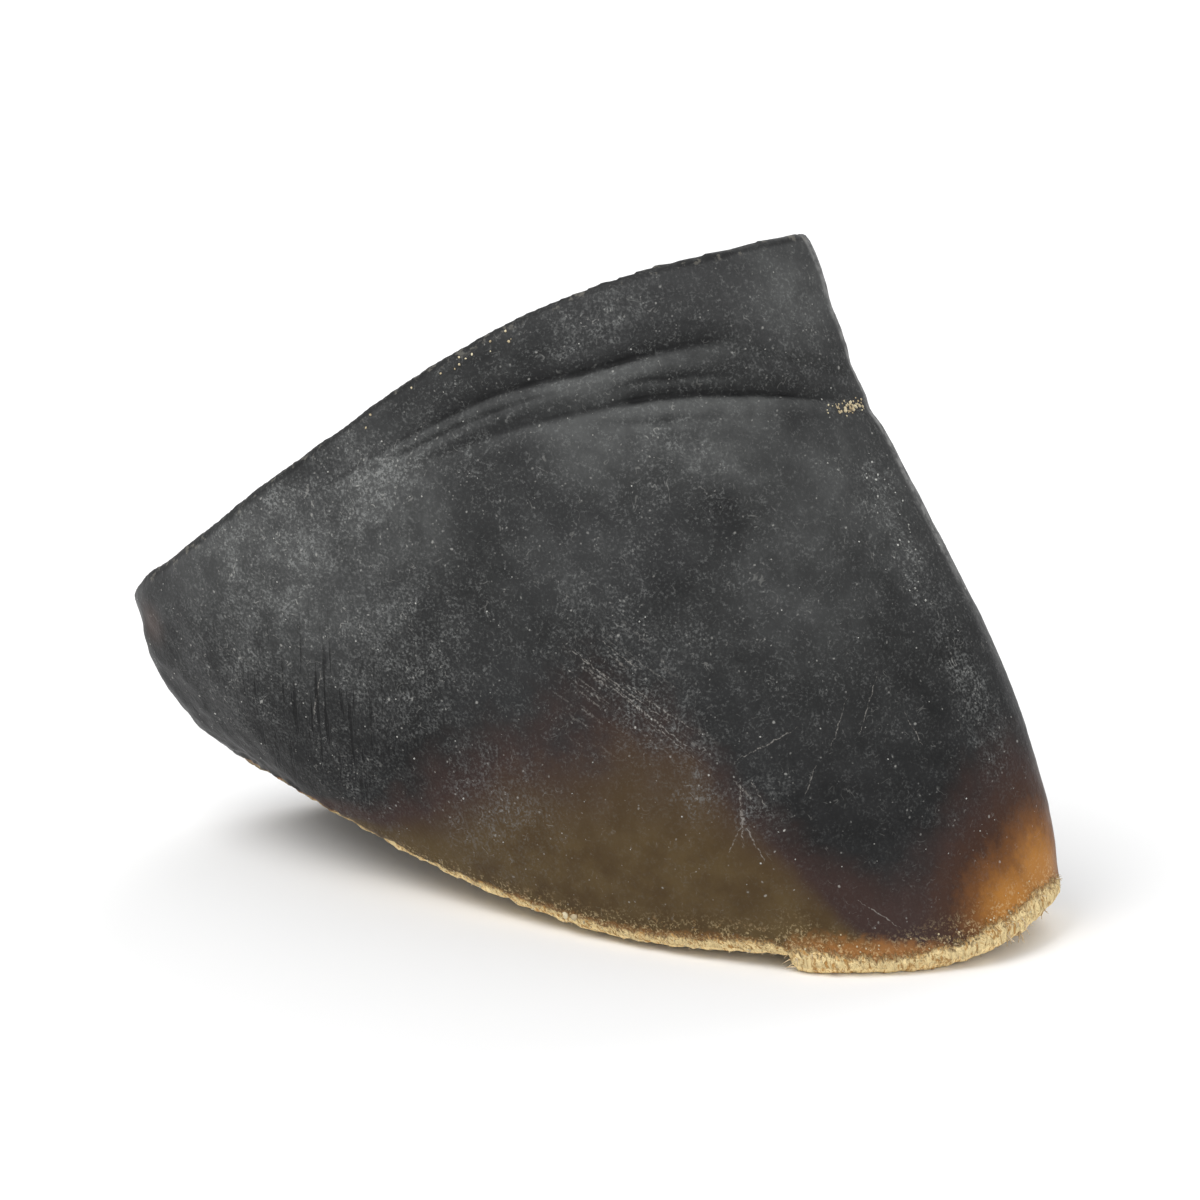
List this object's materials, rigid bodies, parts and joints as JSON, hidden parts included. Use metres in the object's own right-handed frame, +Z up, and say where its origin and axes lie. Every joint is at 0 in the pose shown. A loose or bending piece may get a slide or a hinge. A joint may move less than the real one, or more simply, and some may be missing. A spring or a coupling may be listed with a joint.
{
  "type": "cow hoof",
  "caption": "Hollow horn capsule of a cow's claw: curved outer wall, sharp front ridge, flat sole and an open slanted top.",
  "frame": {"origin": "middle of the capsule's bounding box, on the surface that it stands on", "axes": "+X from the heel to the toe, -Y towards the outer wall's side, +Z up"},
  "size_m": [0.1066, 0.0436, 0.0748],
  "materials": {
    "horn": "satin black horn with amber and cream at the ground edge"
  },
  "bodies": {
    "root": {"hoof": "horn"}
  },
  "joints": []
}
